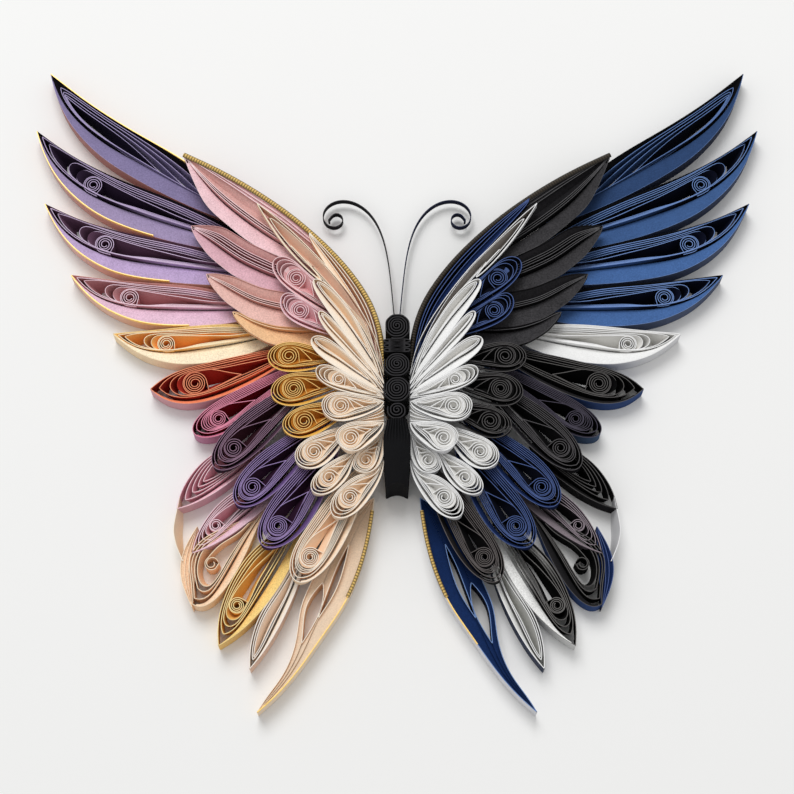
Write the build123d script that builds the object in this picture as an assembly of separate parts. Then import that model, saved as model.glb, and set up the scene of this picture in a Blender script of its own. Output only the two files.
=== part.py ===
"""Quilled paper butterfly lying on its back: wing petals in four glued layers, a coiled body, curled antennae.

Millimetres, Z up, head towards +Y. One wing is drawn on the +X side and mirrored for the other.
"""
import math
import os
from collections import namedtuple

from build123d import *

# Strip widths, which are the heights of the four layers of petals
FEATHER_STRIP = 5.0
COVERT_STRIP = 3.0
COIL_STRIP = 2.5
FAN_STRIP = 2.5

# Petals
WING_REACH = 94.0     # from the middle line to the farthest tip
ROOT_WIDTH = 0.9      # pinched end of a petal
PETAL_GAP = 0.2       # air left between two petals of one layer
EYE_HOLE = 0.8        # radius of the hole in the middle of an eye coil
SIDE_FACETS = 7       # straight runs along one side of a petal

# Body, a row of coils ending in a folded abdomen
BODY_HEIGHT = 14.5
BODY_WIDTH = 6.4
NECK_Y = 10.2         # where the head coil rests on the thorax
HEAD_LENGTH = 6.6
SCROLL_LENGTH = 3.6
OVAL_LENGTH = 6.2
ROUND_LENGTH = 6.6
WAIST_LENGTH = 4.4
WAIST_WIDTH = 4.6
ABDOMEN_LENGTH = 20.0
ABDOMEN_NOTCH = 1.2   # hollow of the abdomen's free end
ABDOMEN_SLITS = 4
SLIT_WIDTH = 0.4
SLIT_MARGIN = 2.5     # paper left at both ends of a slit

# A body coil, in shares of its half width
CORNER_SHARE = 0.55   # bevel that rounds the corners
TURN_START = 0.25     # middle of the first open turn
TURN_END = 0.74       # middle of the last open turn
TURN_GAP = 0.14       # width of the open turn
COIL_TURNS = 1.5
TURN_FACETS = 8       # straight runs in one turn

# Antennae
ANTENNA_STRIP = 3.0
ANTENNA_PAPER = 0.5
ANTENNA_OFFSET = 0.35 # from the middle line to the foot's middle
ANTENNA_LENGTH = 65.0
ANTENNA_LEAN = 85.0   # degrees from +X where the strip leaves the head
CURL_TURN = 540.0     # degrees turned by the free end
CURL_POWER = 4.2      # how late the curl tightens
CURL_FACETS = 22
FACET_POWER = 0.55    # gathers the facets in the curl

LAYERS = {
    "feather": (0.0, FEATHER_STRIP),
    "covert": (FEATHER_STRIP, COVERT_STRIP),
    "coil": (FEATHER_STRIP + COVERT_STRIP, COIL_STRIP),
    "fan": (FEATHER_STRIP + COVERT_STRIP + COIL_STRIP, FAN_STRIP),
}

# How a petal's bulge grows from the root and closes at the tip
PROFILES = {
    "blade": (0.8, 0.8),
    "drop": (1.2, 0.55),
    "long": (0.65, 0.95),
}

# Openings between the turns, as corners (along, across). Across runs from the lower side to the upper side.
# Along runs from root to tip, except in an eye petal: there 1 is the eye and 2 the tip.
EYE_OPENINGS = [
    [(0.80, 0.90), (1.29, 0.87), (1.75, 0.5), (1.29, 0.13), (0.92, 0.10), (1.27, 0.27), (1.54, 0.5), (1.22, 0.75)],
    [(0.22, 0.55), (0.55, 0.36), (0.83, 0.34), (0.86, 0.5), (0.80, 0.68), (0.55, 0.70)],
]
FAN_OPENINGS = [
    [(0.14, 0.80), (0.50, 0.72), (0.88, 0.62), (0.55, 0.88)],
    [(0.14, 0.62), (0.50, 0.46), (0.90, 0.46), (0.52, 0.64)],
    [(0.16, 0.36), (0.50, 0.26), (0.86, 0.26), (0.52, 0.36)],
]
LOOP_OPENINGS = [
    [(0.24, 0.55), (0.60, 0.30), (0.88, 0.28), (0.95, 0.50), (0.88, 0.72), (0.60, 0.70)],
]
TURNS = {"eye": EYE_OPENINGS, "fan": FAN_OPENINGS, "loop": LOOP_OPENINGS, "plain": []}
EYE_ALONG = {"blade": 0.70, "drop": 0.76}
EYE_CORNERS = 5

Petal = namedtuple("Petal", "name layer profile turns root tip upper lower")

# Petals of one wing, drawn to scale with WING_REACH: root, tip, (bulge, sway) of the upper and the lower side
PETALS = [
    Petal("primary_feather_1", "feather", "blade", "fan", (37, 46), (91.5, 89), (1.3, 1.5), (-9.8, 1.5)),
    Petal("primary_feather_2", "feather", "blade", "eye", (34, 39.5), (94, 72), (-1.2, 1.5), (-12.8, 1.5)),
    Petal("primary_feather_3", "feather", "blade", "eye", (32.5, 31), (90.5, 51), (0.2, 2), (-11.5, 2)),
    Petal("primary_feather_4", "feather", "blade", "eye", (32, 22.5), (82.5, 31), (1.6, 1), (-9.6, 1)),
    Petal("primary_feather_5", "feather", "blade", "eye", (28, 16), (71, 15), (1.7, 0.8), (-8.5, 0.8)),
    Petal("hind_feather_1", "feather", "drop", "eye", (22, 12.7), (61, 0.3), (2.8, 0), (-7.5, 0)),
    Petal("hind_feather_2", "feather", "drop", "eye", (22, 8.6), (51.2, -11.7), (3.5, 0), (-5.2, 0)),
    Petal("hind_feather_6", "feather", "blade", "fan", (33, -13), (53.2, -30.5), (5.2, 0), (-3, 0)),
    Petal("hind_feather_7", "feather", "blade", "eye", (27, -22), (49, -41.5), (5.3, 0), (-2.8, 0)),
    Petal("hind_feather_8", "feather", "drop", "eye", (32.5, -29.5), (48.5, -55.5), (8.5, 0), (-3.8, 0)),
    Petal("hind_feather_8_edge", "feather", "blade", "plain", (53.2, -31), (49.5, -48), (1.5, 0), (-3, 0)),
    Petal("hind_feather_9", "feather", "blade", "eye", (23.5, -33.5), (42, -64), (6.2, 0), (-4.4, 0)),
    Petal("hind_feather_10", "feather", "blade", "fan", (22, -38.5), (34.5, -69.5), (3.5, 0), (-2.5, 0)),
    Petal("hind_feather_12", "feather", "blade", "fan", (6, -27), (32.5, -79.7), (4, 2.5), (-5.9, 0.2)),
    Petal("covert_1", "covert", "long", "fan", (2.5, 4), (55, 63.5), (10.8, 0), (1, 6)),
    Petal("covert_2", "covert", "blade", "fan", (15.5, 27), (52.3, 43.3), (4.5, 0), (-8.2, 0)),
    Petal("covert_3", "covert", "blade", "fan", (14, 19), (48, 30), (3, 0), (-8, 0)),
    Petal("covert_4", "covert", "blade", "fan", (15, 13.5), (41, 19.7), (3, 0), (-6, 0)),
    Petal("hind_feather_3", "covert", "drop", "eye", (18, 5), (45, -22.2), (5.4, 0), (-4.4, 0)),
    Petal("hind_feather_4", "covert", "drop", "eye", (15.9, -6.8), (39.3, -31.2), (5.2, 0), (-4.6, 0)),
    Petal("hind_feather_5", "covert", "drop", "eye", (13.2, -11.5), (32.8, -41.4), (4.5, 0), (-6.4, 0)),
    Petal("hind_feather_11", "covert", "drop", "eye", (5.5, -17), (24.6, -50.4), (5.1, 0), (-5.2, 0)),
    Petal("leading_petal", "coil", "blade", "fan", (2.5, 2.6), (35.5, 48.5), (4.5, 0.5), (1, 2.5)),
    Petal("shoulder_coil_1", "coil", "drop", "eye", (12.9, 17), (31.4, 33.3), (4.6, 0), (-3.5, 0)),
    Petal("shoulder_coil_2", "coil", "drop", "eye", (12.8, 12.5), (28.9, 23.5), (3.4, 0), (-4.3, 0)),
    Petal("middle_coil_1", "coil", "drop", "eye", (14, 6.4), (32.2, 6.9), (3.9, 0), (-4, 0)),
    Petal("middle_coil_2", "coil", "drop", "eye", (11.5, 0.6), (31.2, -3), (4.5, 0), (-4.3, 0)),
    Petal("middle_coil_3", "coil", "drop", "eye", (10.2, -5.1), (28.1, -11.8), (3.5, 0), (-4.6, 0)),
    Petal("inner_petal_7", "coil", "drop", "eye", (11.4, -11), (24.5, -20.5), (3.3, 0), (-4.7, 0)),
    Petal("inner_petal_8", "coil", "drop", "eye", (2.5, -12.6), (10.6, -22.2), (1.8, 0), (-4.2, 0)),
    Petal("inner_petal_9", "coil", "drop", "eye", (8.4, -16.7), (20.6, -28), (2.6, 0), (-3.6, 0)),
    Petal("inner_petal_10", "coil", "drop", "eye", (2.5, -20), (15.5, -34.2), (3.5, 0), (-3.6, 0)),
    Petal("inner_petal_1", "fan", "drop", "loop", (2.5, -0.6), (22.9, 28.6), (3.4, 0), (-1.2, 0)),
    Petal("inner_petal_2", "fan", "drop", "loop", (2.5, -1.8), (20.7, 19.7), (2.4, 0), (-2, 0)),
    Petal("inner_petal_3", "fan", "drop", "loop", (2.5, -3), (22.8, 12), (2.9, 0), (-2.5, 0)),
    Petal("inner_petal_4", "fan", "drop", "loop", (2.5, -4.2), (20.2, 3.3), (2.1, 0), (-3.3, 0)),
    Petal("inner_petal_5", "fan", "drop", "eye", (2.5, -6), (18.6, -6.3), (3, 0), (-4.7, 0)),
    Petal("inner_petal_6", "fan", "drop", "eye", (2.5, -11.3), (15.1, -15), (2.5, 0), (-4.8, 0)),
]

# The second petal here is a strip glued along the first, so the two are one solid
GLUED_EDGE = ("hind_feather_8", "hind_feather_8_edge")


def bulge_profile(profile, along):
    """Share of the full bulge at a place along the petal, greatest value one."""
    rise, fall = PROFILES[profile]
    peak = rise / (rise + fall)
    return (along / peak) ** rise * ((1 - along) / (1 - peak)) ** fall


def side_points(petal, side, sign):
    """Corners of one side of a petal from its root to its tip."""
    scale = WING_REACH / max(drawn.tip[0] for drawn in PETALS)
    bulge, sway = side
    length = math.dist(petal.root, petal.tip)
    ahead = ((petal.tip[0] - petal.root[0]) / length, (petal.tip[1] - petal.root[1]) / length)
    points = []
    for step in range(SIDE_FACETS + 1):
        along = (1 - math.cos(math.pi * step / SIDE_FACETS)) / 2
        across = scale * (bulge * bulge_profile(petal.profile, along) + sway * math.sin(2 * math.pi * along))
        across += sign * ROOT_WIDTH / 2 * (1 - along)
        x = scale * (petal.root[0] + ahead[0] * length * along) - ahead[1] * across
        y = scale * (petal.root[1] + ahead[1] * length * along) + ahead[0] * across
        points.append((x, y))
    return points


def inside(point, polygon):
    """True where the point lies in the polygon."""
    x, y = point
    odd = False
    for (ax, ay), (bx, by) in zip(polygon, polygon[1:] + polygon[:1]):
        if (ay > y) != (by > y) and x < ax + (bx - ax) * (y - ay) / (by - ay):
            odd = not odd
    return odd


def nearest_on_edge(point, start, end):
    """Nearest place to a point on a straight run."""
    run = (end[0] - start[0], end[1] - start[1])
    share = ((point[0] - start[0]) * run[0] + (point[1] - start[1]) * run[1]) / (run[0] ** 2 + run[1] ** 2)
    share = min(1, max(0, share))
    return (start[0] + run[0] * share, start[1] + run[1] * share)


def push_clear(point, polygon):
    """Moves a point that is in, or too near, a neighbouring petal out to the gap beside it."""
    edges = list(zip(polygon, polygon[1:] + polygon[:1]))
    nearest = min((nearest_on_edge(point, *edge) for edge in edges), key=lambda place: math.dist(place, point))
    distance = math.dist(nearest, point)
    within = inside(point, polygon)
    if distance == 0 or (distance >= PETAL_GAP and not within):
        return point
    reach = -PETAL_GAP if within else PETAL_GAP
    return tuple(near + (here - near) * reach / distance for near, here in zip(nearest, point))


def place_in(upper, lower, along, across):
    """Point of a petal from its share of the length and of the width."""
    step = math.acos(1 - 2 * along) / math.pi * SIDE_FACETS
    first = min(int(step), SIDE_FACETS - 1)
    share = step - first
    ends = []
    for side in (lower, upper):
        ends.append([a + (b - a) * share for a, b in zip(side[first], side[first + 1])])
    return tuple(low + (high - low) * across for low, high in zip(*ends))


def regular_polygon(centre, radius, corners):
    """Corners of a regular polygon."""
    turns = [2 * math.pi * corner / corners for corner in range(corners)]
    return [(centre[0] + radius * math.cos(turn), centre[1] + radius * math.sin(turn)) for turn in turns]


def flat(outline):
    """Flat face of one outline."""
    return make_face(Polyline(*outline, close=True))


def plate(sheet, openings, base, height):
    """Solid of a flat face with openings through it."""
    for opening in openings:
        sheet -= flat(opening)
    return extrude(Pos(0, 0, base) * sheet, height)


def wing_outlines():
    """Upper and lower sides of every petal of the wing, each clear of the ones before it in its layer."""
    sides = {}
    for petal in PETALS:
        upper = side_points(petal, petal.upper, 1)
        lower = side_points(petal, petal.lower, -1)
        for other in neighbours(petal):
            polygon = outline_of(*sides[other.name])
            upper = [push_clear(point, polygon) for point in upper]
            lower = [push_clear(point, polygon) for point in lower]
        sides[petal.name] = [[(max(x, BODY_WIDTH / 2), y) for x, y in side] for side in (upper, lower)]
    return sides


def outline_of(upper, lower):
    """Closed outline of a petal, the tip once."""
    return upper + lower[-2::-1]


def neighbours(petal):
    """Petals before this one in its layer that it has to keep clear of."""
    before = PETALS[:PETALS.index(petal)]
    return [other for other in before if other.layer == petal.layer and (other.name, petal.name) != GLUED_EDGE]


def eye_scale(petal, along):
    """Share of the length at a template's place, which in an eye petal is counted from the eye."""
    if petal.turns != "eye":
        return along
    eye = EYE_ALONG[petal.profile]
    return eye * along if along < 1 else eye + (1 - eye) * (along - 1)


def petal_solid(petal, sides):
    """Solid of one petal, trimmed where a neighbour's corner still reaches in, with openings between its turns."""
    upper, lower = sides[petal.name]
    sheet = flat(outline_of(upper, lower))
    for other in neighbours(petal):
        sheet -= flat(outline_of(*sides[other.name]))
    sheet = max(sheet.faces(), key=lambda face: face.area)
    openings = []
    for template in TURNS[petal.turns]:
        corners = [(eye_scale(petal, along), across) for along, across in template]
        openings.append([place_in(upper, lower, *corner) for corner in corners])
    if petal.turns == "eye":
        middle = place_in(upper, lower, EYE_ALONG[petal.profile], 0.5)
        openings.append(regular_polygon(middle, EYE_HOLE, EYE_CORNERS))
    base, height = LAYERS[petal.layer]
    return plate(sheet, openings, base, height)


def coil_solid(x, top, width, length):
    """Body coil with bevelled corners and one spiral opening between its turns."""
    half_width, half_length = width / 2, length / 2
    bevel = CORNER_SHARE * min(half_width, half_length)
    middle = top - half_length
    outline = []
    for sign_x, sign_y in ((1, 1), (-1, 1), (-1, -1), (1, -1)):
        along_x = (x + sign_x * (half_width - bevel), middle + sign_y * half_length)
        along_y = (x + sign_x * half_width, middle + sign_y * (half_length - bevel))
        outline += [along_y, along_x] if sign_x == sign_y else [along_x, along_y]
    sides = {1: [], -1: []}
    runs = round(COIL_TURNS * TURN_FACETS)
    for run in range(runs + 1):
        turn = 2 * math.pi * run / TURN_FACETS
        radius = TURN_START + (TURN_END - TURN_START) * run / runs
        for sign, points in sides.items():
            reach = radius + sign * TURN_GAP / 2
            points.append((x + half_width * reach * math.cos(turn), middle + half_length * reach * math.sin(turn)))
    return plate(flat(outline), [sides[1] + sides[-1][::-1]], 0, BODY_HEIGHT)


def body_coils():
    """Head, scroll pair, oval, round and waist coils in a row, and the place where the row ends."""
    top = NECK_Y + HEAD_LENGTH
    coils = [coil_solid(0, top, BODY_WIDTH, HEAD_LENGTH)]
    top = NECK_Y
    for side in (-1, 1):
        coils.append(coil_solid(side * BODY_WIDTH / 4, top, BODY_WIDTH / 2, SCROLL_LENGTH))
    top -= SCROLL_LENGTH
    for width, length in ((BODY_WIDTH, OVAL_LENGTH), (BODY_WIDTH, ROUND_LENGTH), (WAIST_WIDTH, WAIST_LENGTH)):
        coils.append(coil_solid(0, top, width, length))
        top -= length
    return coils, top


def abdomen_solid(top):
    """Abdomen bundle with straight slits between its strips and a hollow free end."""
    half = BODY_WIDTH / 2
    end = top - ABDOMEN_LENGTH
    outline = [(-half, top), (-half, end), (-half / 2, end + 0.75 * ABDOMEN_NOTCH), (0, end + ABDOMEN_NOTCH)]
    outline += [(half / 2, end + 0.75 * ABDOMEN_NOTCH), (half, end), (half, top)]
    slits = []
    for slit in range(ABDOMEN_SLITS):
        x = -half + BODY_WIDTH * (slit + 1) / (ABDOMEN_SLITS + 1)
        left, right = x - SLIT_WIDTH / 2, x + SLIT_WIDTH / 2
        low, high = end + ABDOMEN_NOTCH + SLIT_MARGIN, top - SLIT_MARGIN
        slits.append([(left, low), (right, low), (right, high), (left, high)])
    return plate(flat(outline), slits, 0, BODY_HEIGHT)


def antenna_outline():
    """Outline of one antenna: a strip on edge that turns faster and faster to its free end."""
    foot = NECK_Y + HEAD_LENGTH
    x, y = ANTENNA_OFFSET, foot
    last = 0
    sides = {1: [], -1: []}
    for facet in range(CURL_FACETS + 1):
        share = (facet / CURL_FACETS) ** FACET_POWER
        steps = 12
        for step in range(steps):
            here = last + (share - last) * (step + 0.5) / steps
            heading = math.radians(ANTENNA_LEAN - CURL_TURN * here ** CURL_POWER)
            x += ANTENNA_LENGTH * (share - last) / steps * math.cos(heading)
            y += ANTENNA_LENGTH * (share - last) / steps * math.sin(heading)
        last = share
        heading = math.radians(ANTENNA_LEAN - CURL_TURN * share ** CURL_POWER)
        for sign, points in sides.items():
            reach = sign * ANTENNA_PAPER / 2
            points.append((x - reach * math.sin(heading), max(foot, y + reach * math.cos(heading))))
    return sides[1] + sides[-1][::-1]


def build_nodes():
    """Every node of the butterfly by name, centred on its box."""
    sides = wing_outlines()
    solids = {petal.name: petal_solid(petal, sides) for petal in PETALS}
    carrier, edge = GLUED_EDGE
    solids[carrier] += solids.pop(edge)
    inner = [solids.pop(petal.name) for petal in PETALS if petal.name.startswith("inner_petal")]
    solids["inner_petals"] = Compound(children=inner)
    solids["antenna"] = plate(flat(antenna_outline()), [], 0, ANTENNA_STRIP)
    nodes = {}
    for name, solid in solids.items():
        nodes["right_" + name] = solid
        nodes["left_" + name] = mirror(solid, about=Plane.YZ)
    coils, row_end = body_coils()
    nodes["body_coils"] = Compound(children=coils)
    nodes["abdomen"] = abdomen_solid(row_end)
    heights = [y for upper, lower in sides.values() for x, y in upper + lower]
    centre = (min(heights) + max(heights)) / 2
    return {name: Pos(0, -centre, 0) * solid for name, solid in nodes.items()}


def main():
    os.makedirs("parts", exist_ok=True)
    for name, solid in build_nodes().items():
        export_step(solid, f"parts/{name}.step")


if __name__ == "__main__":
    main()
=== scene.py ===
import copy
import math

import bpy
import numpy as np
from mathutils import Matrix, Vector


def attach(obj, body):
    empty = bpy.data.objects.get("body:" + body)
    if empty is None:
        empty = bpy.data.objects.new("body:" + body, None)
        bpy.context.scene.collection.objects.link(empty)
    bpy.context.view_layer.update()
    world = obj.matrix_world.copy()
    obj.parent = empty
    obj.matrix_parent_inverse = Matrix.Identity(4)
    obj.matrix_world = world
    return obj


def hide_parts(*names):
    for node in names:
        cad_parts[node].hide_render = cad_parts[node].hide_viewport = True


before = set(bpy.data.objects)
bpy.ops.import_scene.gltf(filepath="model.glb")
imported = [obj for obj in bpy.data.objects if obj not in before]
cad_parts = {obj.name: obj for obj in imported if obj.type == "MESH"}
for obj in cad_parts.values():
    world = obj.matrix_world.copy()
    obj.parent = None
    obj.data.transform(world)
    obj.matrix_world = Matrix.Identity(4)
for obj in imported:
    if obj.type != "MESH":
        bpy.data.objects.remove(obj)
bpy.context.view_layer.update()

# Sizes, in metres
MM = 0.001
PAPER = 0.17 * MM
TURN_DROP = 0.5 * MM
BAND_DROP = 1.7 * MM
BAND_LIFT = 0.05 * MM
FACE_DROP = 1.2 * MM
LOOP_FACE_DROP = 0.8 * MM

# How finely lines are drawn and how much they are softened
SIDE_SAMPLES = 64
TIP_SAMPLES = SIDE_SAMPLES // 8
ARM_SAMPLES = 256
HALF_TURN = 30
RING_SAMPLES = 36
FAN_FACE_ROWS = 5
SMOOTH_PASSES = 40
COVERT_SMOOTH_PASSES = 10
ROUND_PASSES = 70
BAND_SMOOTH_PASSES = 20
SMOOTH_ANGLE = math.radians(40)

# How a petal is read from its plate. The wings spring from the hinge, which tells a tip from a root.
WING_HINGE = np.array((0, 0))
FACE_UP = 0.9
PLACE_DIGITS = 6
POINTED_ANGLE = math.radians(75)
ARM_SEARCH = 0.62

# How the strips of a petal lie. Pairs of places are where a change along the petal starts and ends.
LEAF_FULLNESS = 0.8
WEDGE_OPENING = 0.6
WEDGE_SPREAD = 0.55
ROUNDING_DEPTH = 0.35
TURN_LEAN = 0.8
ROOT_BUNDLE_PLACES = (0.36, 0.62)
HOLLOW_CLOSING = 0.85
HOLLOW_PLACES = (0.55, 0.80)
POINT_SPACING = 0.7
ROOT_DIP = 0.4
ROOT_DIP_PLACES = (0, 0.6)
WALL_LEAN = 0.22
BAND_DROP_LIMIT = 0.55
BAND_CURVE = 1.5
BAND_SHARES = (0.0, 0.3, 0.65, 1.0)
FACE_SHARES = (0.0, 0.5, 1.0)
FACE_SLOPE = 0.6
LOOP_FACE_START = 0.3
FAN_SINK_GAIN = 1.5

# The strips glued along the eighth hind feather and the one that sweeps to them, placed for the right wing
EDGED_FEATHER = "hind_feather_8"
EDGED_FEATHER_FULLNESS = 1.9
CRESCENT_TOP = np.array((48.1, -39.6)) * MM
CRESCENT_END = np.array((48.6, -59.4)) * MM
CRESCENT_BULGE = 0.168
CRESCENT_SHARES = (0.0, 0.3, 0.55, 1.0)
CRESCENT_FACE_SINK = 0.4
SWEEP_START = 0.9
SWEEP_POINTS = np.array(((53.5, -37.4), (53.9, -40.6), (53.0, -44.4), (51.2, -48.2))) * MM
SWEEP_LEAN = 1.6 * MM

# The bundle of strips along the leading edge
BUNDLE_REACHES = {-1: 0.52, 1: 0.70}
BUNDLE_WIDTH = 4.0 * MM
BUNDLE_RISE = 1.6 * MM
BUNDLE_FULLNESS = 0.6
BUNDLE_ARCH = 0.5
BUNDLE_SHARES = (0.15, 0.35, 0.6, 1.0)
BUNDLE_FACE_SHARES = (0.6, 0.8, 1.0)
BUNDLE_FACE_SLOPE = 0.7

# The gap beside the body, below the fifth inner petal
GAP_ABOVE = 4
GAP_SHARES = (0.15, 0.4, 0.65, 0.9)
GAP_SAMPLES = 40

# The body and the antennae
BODY_PAPER = 0.3 * MM
BODY_PITCH = 0.55 * MM
BODY_CROWN = 0.6 * MM
BODY_REACH = 0.95
BODY_LEAST_TURNS = 2
BODY_SMOOTH_PASSES = 6
BOW_LOOPS = 3
BOW_SHARES = (1.0, 0.6)
BOW_PINCH = 0.3
BOW_FULLNESS = 0.6
ABDOMEN_SAMPLES = 48
ABDOMEN_ROWS = 61
ABDOMEN_WAIST = 0.74
ABDOMEN_SWELL_PLACES = (0, 0.3)
ABDOMEN_TAPER = 0.75
ABDOMEN_TAPER_PLACES = (0.3, 1.1)
ABDOMEN_CROWN = 1.2 * MM
ABDOMEN_NOTCH = 0.9 * MM
ABDOMEN_END_GAP = 4.0 * MM
ABDOMEN_FALL = 3.5 * MM
ABDOMEN_PLEATS = 9
PLEAT_DEPTH = 0.7 * MM
PLEAT_PLACES = (0, 0.55)
ANTENNA_PAPER = 0.23 * MM
ANTENNA_FOOT = 0.4
ANTENNA_SAMPLES = 240
ANTENNA_SMOOTH_PASSES = 40
CURL_BACK = ANTENNA_SAMPLES // 16
CURL_STEPS = 30
CURL_TURN = math.radians(170)
CURL_CLOSING = 0.5
CURL_RADIUS = 0.5 * MM

# The gilt edges. Slices pick the samples of a petal's side that have one.
BEAD_PITCH = 0.72 * MM
BEAD_STEPS = 4
BEAD_HEIGHT = 0.2 * MM
BEAD_ROWS = (-0.5, -0.25, 0.0, 0.25, 0.5)
GILT_WIDTH = 1.15 * MM
GILT_PAPER = 0.25 * MM
GILT_RISE = 0.3 * MM
GILT_LINE_PAPER = 0.22 * MM
GILT_LINE_HEIGHT = 1.0 * MM
GILT_LINE_RISE = 0.1 * MM
LEADING_BEADS = slice(1, None)
TAIL_GILT_WIDTH = 0.75 * MM
TAIL_BEADS = slice(4, 28)
TAIL_LINES = {"left": slice(27, None), "right": slice(27, 42)}
FIRST_FEATHER_LINE = slice(16, None)
FEATHER_LINE = slice(24, None)
GILT_FEATHERS = (1, 2, 3, 4)

# Paper and gilt as materials
# Faces that look up more than this are the strips' top edges, coloured pale: the cut edge with a painted
# highlight.
EDGE_UP = 0.8
PAPER_GRAIN = 0.12
FIBRE = {"Scale": 2600.0, "Detail": 3.0}
CLOUD = {"Scale": 260.0, "Detail": 2.0}
FIBRE_GAIN = 3
FACE_FIBRE_GAIN = 4
CLOUD_GAIN = 2
BUMP_DISTANCE = 0.0001
PAPER_BUMP = 0.25
PAPER_ROUGHNESS = 0.9
PAPER_SHINE = 0.12
GILT_FIBRE = {"Scale": 1800.0, "Detail": 2.0}
GILT_SHADE = 0.85
GILT_SHADE_GAIN = 0.5
# How much the gilt darkens in the dents between beads and at the strip's sides: painted shade.
GILT_DENT_SHADE = 0.88
GILT_BUMP = 0.4
GILT_ROUGHNESS = 0.3
GILT_ROUGHNESS_GAIN = 0.25
GILT_METALLIC = 0.3

# The studio. The camera stands where the photograph was taken from, above the part and a little to its tail.
CAMERA_TARGET = Vector((0, -4.65, 0)) * MM
CAMERA_DISTANCE = 450 * MM
CAMERA_ELEVATION = math.radians(70)
FIELD_OF_VIEW = math.radians(24.87)
SENSOR_WIDTH = 36
FLOOR_SIZE = 6
FLOOR_COLOUR = (247, 247, 246)
FLOOR_ROUGHNESS = 0.95
LAMP_PLACE = Vector((-0.25, 0.9, 1.3))
LAMP_SIZE = 0.9
LAMP_POWER = 14
SKY_COLOUR = (1, 1, 1, 1)
SKY_STRENGTH = 0.55


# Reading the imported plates

def read_plates(node_name):
    """Each solid of a CAD node as its top outline and its lower and upper height."""
    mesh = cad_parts[node_name].data
    mesh.calc_loop_triangles()
    corners = [tuple(round(c, PLACE_DIGITS) for c in vertex.co) for vertex in mesh.vertices]
    floor_height = {}
    for x, y, z in corners:
        floor_height[x, y] = min(z, floor_height.get((x, y), z))
    face_of_edge = {}
    for tri in mesh.loop_triangles:
        if tri.normal.z > FACE_UP:
            face = [corners[i] for i in tri.vertices]
            for i in range(3):
                face_of_edge[face[i], face[(i + 1) % 3]] = tuple(face)
    plates = []
    while face_of_edge:
        for outline in rim_loops(take_patch(face_of_edge)):
            flat = np.array(outline)[:, :2]
            if signed_area(flat) > 0:
                x, y, top = outline[0]
                plates.append((flat, floor_height[x, y], top))
    return plates


def take_patch(face_of_edge):
    """Takes one solid's top faces out of the table and gives their edges."""
    waiting = [next(iter(face_of_edge))]
    patch = set()
    while waiting:
        edge = waiting.pop()
        if edge in face_of_edge:
            face = face_of_edge[edge]
            for i in range(3):
                start, end = face[i], face[(i + 1) % 3]
                del face_of_edge[start, end]
                patch.add((start, end))
                waiting.append((end, start))
    return patch


def rim_loops(patch):
    """The closed lines round a patch of faces and round its openings."""
    following = {start: end for start, end in patch if (end, start) not in patch}
    loops = []
    while following:
        start, corner = following.popitem()
        loop = [start]
        while corner != start:
            loop.append(corner)
            corner = following.pop(corner)
        loops.append(loop)
    return loops


def signed_area(outline):
    x, y = outline.T
    return 0.5 * float(np.sum(x * np.roll(y, -1) - np.roll(x, -1) * y))


# Lines in the plane of the wing

def resample(points, count):
    """Points at even steps along a line."""
    points = np.asarray(points, dtype=float)
    steps = np.linalg.norm(np.diff(points, axis=0), axis=1)
    reach = np.concatenate(([0], np.cumsum(steps)))
    even = np.linspace(0, reach[-1], count)
    return np.column_stack([np.interp(even, reach, points[:, axis]) for axis in range(points.shape[1])])


def evened(before, here, after):
    """Points drawn halfway to the middle between their neighbours."""
    return 0.25 * before + 0.5 * here + 0.25 * after


def soften(points, passes):
    """Rounds the facets off a line and keeps its two ends."""
    points = points.copy()
    for _ in range(passes):
        points[1:-1] = evened(points[:-2], points[1:-1], points[2:])
    return points


def blend(first, second, share):
    return first + (second - first) * share


def fade(place, start, end):
    """0 up to the start, 1 from the end on, and an eased way between them."""
    x = min(max((place - start) / (end - start), 0.0), 1.0)
    return x * x * (3 - 2 * x)


def rightward(line):
    """The way to the right of a line, one unit long, at each of its points."""
    ways = np.gradient(line, axis=0)
    return np.column_stack((ways[:, 1], -ways[:, 0])) / np.linalg.norm(ways, axis=1)[:, None]


def without_arm(lower):
    """A petal's lower side without the arm that lies hidden under the slender petal."""
    lower = resample(lower, ARM_SAMPLES)
    reach = np.linalg.norm(lower - lower[0], axis=1)
    arm = int(np.argmax(reach[:int(ARM_SEARCH * ARM_SAMPLES)]))
    end = arm + int(np.argmin(reach[arm:]))
    return np.vstack((lower[:1], lower[end:]))


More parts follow.
